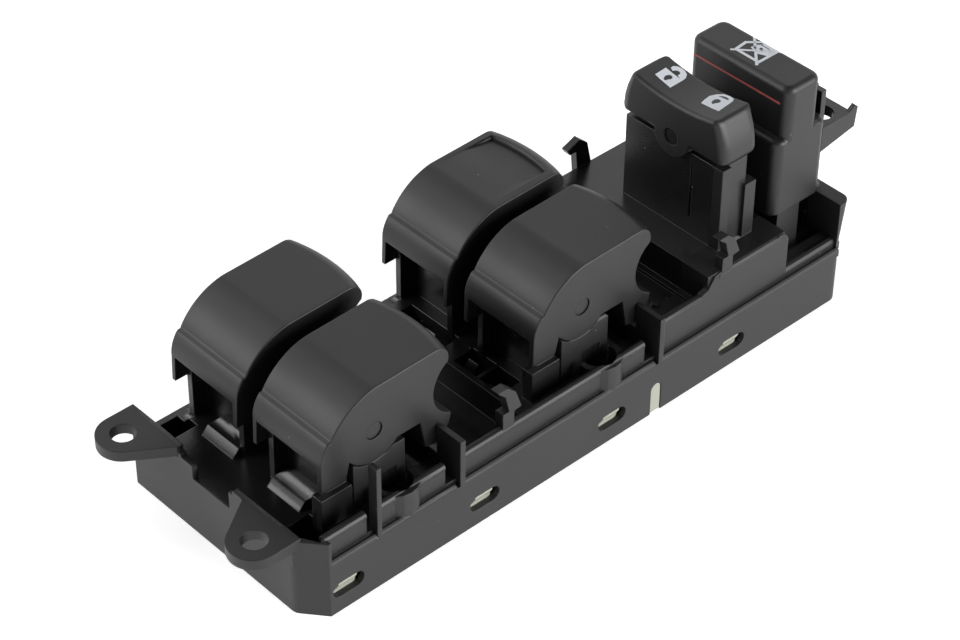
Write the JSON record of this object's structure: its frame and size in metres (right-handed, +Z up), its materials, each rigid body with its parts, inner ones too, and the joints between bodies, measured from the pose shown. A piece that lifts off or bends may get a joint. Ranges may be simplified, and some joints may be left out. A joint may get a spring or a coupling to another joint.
{
  "type": "power window switch",
  "caption": "Driver's door power window switch: ribbed base moulding with screw ears, tilting window rockers, a door lock rocker and a tall push button for window lock-out.",
  "frame": {"origin": "middle of the part's footprint, level with the bottom edge of the base moulding", "axes": "+X runs along the switch from the ear pair towards the lock-out button, +Y is the side with the connector, +Z is up out of the buttons"},
  "size_m": [0.172, 0.0562, 0.0583],
  "materials": {
    "black_housing": "satin black moulded plastic with a fine spark texture",
    "black_rocker": "fine satin black grained plastic",
    "cream_nylon": "natural cream nylon",
    "board_green": "green solder mask over laminate",
    "header_black": "matte black connector plastic",
    "tin_plate": "tin plated contacts",
    "gold_plate": "thin gold plating on copper",
    "spring_bronze": "phosphor bronze strip",
    "spring_steel": "bright spring steel",
    "screw_zinc": "zinc plated steel",
    "white_nylon": "white low-friction nylon"
  },
  "bodies": {
    "housing": {"upper_housing": "black_housing", "base_cover": "cream_nylon", "circuit_board": "board_green", "connector_header": "header_black", "connector_pins": "tin_plate", "board_contacts": "gold_plate", "cover_screws": "screw_zinc", "lockout_switch_body": "header_black", "lockout_return_spring": "spring_steel", "lock_centring_spring": "spring_steel", "centring_spring_rear_right": "spring_steel", "centring_spring_rear_left": "spring_steel", "centring_spring_front_right": "spring_steel", "centring_spring_front_left": "spring_steel"},
    "window_rocker_rear_right": {"window_rocker_rear_right": "black_rocker"},
    "carriage_rear_right": {"contact_carriage_rear_right": "white_nylon", "contact_strip_rear_right": "spring_bronze"},
    "window_rocker_rear_left": {"window_rocker_rear_left": "black_rocker"},
    "carriage_rear_left": {"contact_carriage_rear_left": "white_nylon", "contact_strip_rear_left": "spring_bronze"},
    "window_rocker_front_right": {"window_rocker_front_right": "black_rocker"},
    "carriage_front_right": {"contact_carriage_front_right": "white_nylon", "contact_strip_front_right": "spring_bronze"},
    "window_rocker_front_left": {"window_rocker_front_left": "black_rocker"},
    "carriage_front_left": {"contact_carriage_front_left": "white_nylon", "contact_strip_front_left": "spring_bronze"},
    "lock_rocker": {"lock_rocker": "black_rocker"},
    "lock_carriage": {"lock_carriage": "white_nylon", "lock_contact_strip": "spring_bronze"},
    "lockout_button": {"lockout_button": "black_rocker", "lockout_switch_plunger": "white_nylon"}
  },
  "joints": [
    {"name": "rear_right_rocker_tilt", "type": "hinge", "parent": "housing", "child": "window_rocker_rear_right", "pos_m": [-0.0525, -0.01045, 0.032], "axis": [0, 1, 0], "range_deg": [-8, 8], "stiffness_Nm_per_rad": 0.35, "deforming": ["centring_spring_rear_right"]},
    {"name": "rear_right_carriage_slide", "type": "slide", "parent": "housing", "child": "carriage_rear_right", "axis": [1, 0, 0], "range_m": [-0.0034, 0.0034]},
    {"name": "rear_left_rocker_tilt", "type": "hinge", "parent": "housing", "child": "window_rocker_rear_left", "pos_m": [-0.0525, 0.01485, 0.032], "axis": [0, 1, 0], "range_deg": [-8, 8], "stiffness_Nm_per_rad": 0.35, "deforming": ["centring_spring_rear_left"]},
    {"name": "rear_left_carriage_slide", "type": "slide", "parent": "housing", "child": "carriage_rear_left", "axis": [1, 0, 0], "range_m": [-0.0034, 0.0034]},
    {"name": "front_right_rocker_tilt", "type": "hinge", "parent": "housing", "child": "window_rocker_front_right", "pos_m": [0.0025, -0.01045, 0.032], "axis": [0, 1, 0], "range_deg": [-8, 8], "stiffness_Nm_per_rad": 0.35, "deforming": ["centring_spring_front_right"]},
    {"name": "front_right_carriage_slide", "type": "slide", "parent": "housing", "child": "carriage_front_right", "axis": [1, 0, 0], "range_m": [-0.0034, 0.0034]},
    {"name": "front_left_rocker_tilt", "type": "hinge", "parent": "housing", "child": "window_rocker_front_left", "pos_m": [0.0025, 0.01485, 0.032], "axis": [0, 1, 0], "range_deg": [-8, 8], "stiffness_Nm_per_rad": 0.35, "deforming": ["centring_spring_front_left"]},
    {"name": "front_left_carriage_slide", "type": "slide", "parent": "housing", "child": "carriage_front_left", "axis": [1, 0, 0], "range_m": [-0.0034, 0.0034]},
    {"name": "lock_rocker_tilt", "type": "hinge", "parent": "housing", "child": "lock_rocker", "pos_m": [0.0453, -0.0075, 0.0486], "axis": [1, 0, 0], "range_deg": [-6, 6], "stiffness_Nm_per_rad": 0.3, "deforming": ["lock_centring_spring"]},
    {"name": "lock_carriage_slide", "type": "slide", "parent": "housing", "child": "lock_carriage", "axis": [0, 1, 0], "range_m": [-0.0044, 0.0044]},
    {"name": "lockout_press", "type": "slide", "parent": "housing", "child": "lockout_button", "axis": [0, 0, 1], "range_m": [-0.003, 0], "stiffness_N_per_m": 600, "deforming": ["lockout_return_spring"]}
  ],
  "couplings": [
    {"joint": "rear_right_carriage_slide", "follows": "rear_right_rocker_tilt", "m_per_rad": -0.0234},
    {"joint": "rear_left_carriage_slide", "follows": "rear_left_rocker_tilt", "m_per_rad": -0.0234},
    {"joint": "front_right_carriage_slide", "follows": "front_right_rocker_tilt", "m_per_rad": -0.0234},
    {"joint": "front_left_carriage_slide", "follows": "front_left_rocker_tilt", "m_per_rad": -0.0234},
    {"joint": "lock_carriage_slide", "follows": "lock_rocker_tilt", "m_per_rad": 0.04}
  ]
}
